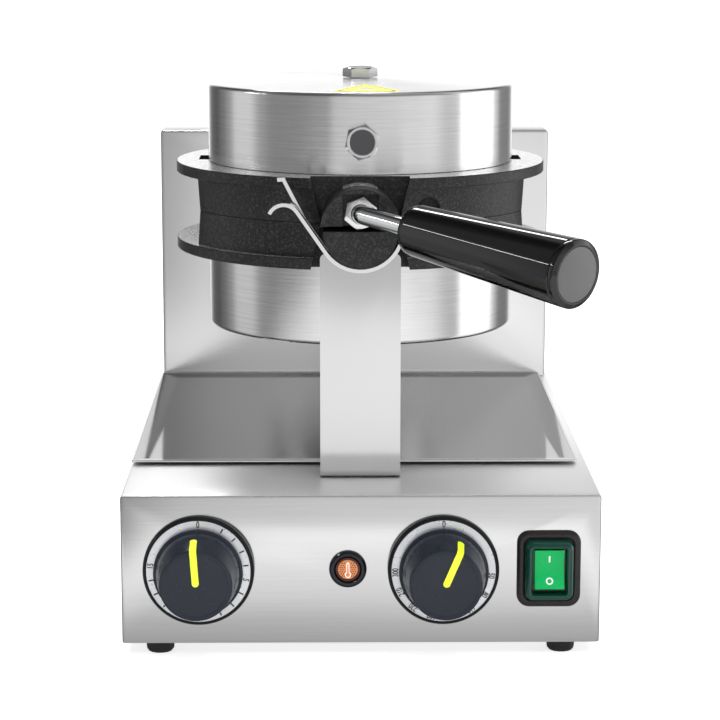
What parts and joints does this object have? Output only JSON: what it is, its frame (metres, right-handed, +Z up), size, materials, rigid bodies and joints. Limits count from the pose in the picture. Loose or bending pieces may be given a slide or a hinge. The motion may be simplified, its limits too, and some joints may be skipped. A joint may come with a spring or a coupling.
{
  "type": "waffle cone maker",
  "caption": "Rotary waffle cone maker: two hinged round irons turn over on a shaft above a steel base with timer, thermostat, lamp, switch and drip tray.",
  "frame": {"origin": "bottom centre of the whole machine, on the worktop", "axes": "+Z up, the controls face -Y, +Y towards the rear column, +X to the right seen from the front"},
  "size_m": [0.25, 0.5159, 0.2983],
  "materials": {
    "stainless": "horizontally brushed",
    "stainless_bracket": "fine vertical brushing",
    "plated_steel": "plain zinc plated",
    "screw": "bright plated",
    "casting": "rough dark non-stick coating",
    "bronze": "machined",
    "chrome": "polished",
    "control_plastic": "moulded",
    "dial_face": "satin, printed black marks, black rim",
    "black_trim": "fine moulded texture",
    "amber_lens": "translucent",
    "clear_boot": "clear flexible splash cover",
    "gland_plastic": "moulded",
    "foot_rubber": "matte",
    "loom_sleeve": "glass-fibre sleeve",
    "cover_steel": "brushed round its axis",
    "bolt_steel": "bright zinc plated",
    "heater_sheath": "heat darkened",
    "spring_steel": "satin",
    "bakelite": "polished black",
    "end_cap": "satin",
    "knob_plastic": "fine satin",
    "pointer_yellow": "bright",
    "rocker_green": "translucent lit green",
    "tray_steel": "bright annealed, near mirror"
  },
  "bodies": {
    "root": {"base_housing": "stainless", "bottom_plate": "plated_steel", "rear_column": "stainless", "rear_cover": "stainless", "front_bracket": "stainless_bracket", "bracket_screw_left": "screw", "bracket_screw_right": "screw", "bearing_flange": "casting", "bearing_bush": "bronze", "stop_pin": "chrome", "timer_body": "control_plastic", "thermostat_body": "control_plastic", "timer_dial": "dial_face", "thermostat_dial": "dial_face", "lamp_bezel": "black_trim", "lamp_lens": "amber_lens", "switch_frame": "black_trim", "switch_boot": "clear_boot", "terminal_block": "control_plastic", "cable_gland": "gland_plastic", "foot_front_left": "foot_rubber", "foot_front_right": "foot_rubber", "foot_rear_left": "foot_rubber", "foot_rear_right": "foot_rubber", "wire_loom": "loom_sleeve", "cover_screw_lower_left": "screw", "cover_screw_lower_right": "screw", "cover_screw_upper_left": "screw", "cover_screw_upper_right": "screw"},
    "head": {"lower_plate": "casting", "lower_cover": "cover_steel", "lower_top_bolt": "bolt_steel", "lower_side_bolt": "bolt_steel", "lower_heater": "heater_sheath", "rear_shaft": "chrome", "shaft_nut": "bolt_steel", "hinge_pin": "chrome", "stop_collar": "chrome"},
    "latch": {"latch_strip": "spring_steel"},
    "lid": {"upper_plate": "casting", "upper_cover": "cover_steel", "upper_top_bolt": "bolt_steel", "upper_side_bolt": "bolt_steel", "upper_heater": "heater_sheath", "handle_rod": "chrome", "handle_nut": "bolt_steel", "handle_grip": "bakelite", "handle_end_cap": "end_cap"},
    "timer_control": {"timer_knob": "knob_plastic", "timer_pointer": "pointer_yellow", "timer_shaft": "chrome"},
    "thermostat_control": {"thermostat_knob": "knob_plastic", "thermostat_pointer": "pointer_yellow", "thermostat_shaft": "chrome"},
    "rocker": {"switch_rocker": "rocker_green"},
    "tray": {"drip_tray": "tray_steel"}
  },
  "joints": [
    {"name": "head_rotate", "type": "hinge", "parent": "root", "child": "head", "pos_m": [0, -0.01225, 0.2225], "axis": [0, 1, 0], "range_deg": [-180, 0]},
    {"name": "plate_open", "type": "hinge", "parent": "head", "child": "lid", "pos_m": [0, 0.10175, 0.2225], "axis": [-1, 0, 0], "range_deg": [0, 88]},
    {"name": "latch_swing", "type": "hinge", "parent": "head", "child": "latch", "pos_m": [0, -0.01225, 0.2225], "axis": [0, -1, 0], "range_deg": [0, 14], "stiffness_Nm_per_rad": 1},
    {"name": "timer_turn", "type": "hinge", "parent": "root", "child": "timer_control", "pos_m": [-0.0845, -0.16025, 0.0482], "axis": [0, 1, 0], "range_deg": [0, 277]},
    {"name": "thermostat_turn", "type": "hinge", "parent": "root", "child": "thermostat_control", "pos_m": [0.0428, -0.16025, 0.0482], "axis": [0, 1, 0], "range_deg": [-23, 257]},
    {"name": "switch_rock", "type": "hinge", "parent": "root", "child": "rocker", "pos_m": [0.0978, -0.16025, 0.0482], "axis": [1, 0, 0], "range_deg": [0, 16]},
    {"name": "tray_slide", "type": "slide", "parent": "root", "child": "tray", "axis": [1, 0, 0], "range_m": [0, 0.24]}
  ]
}
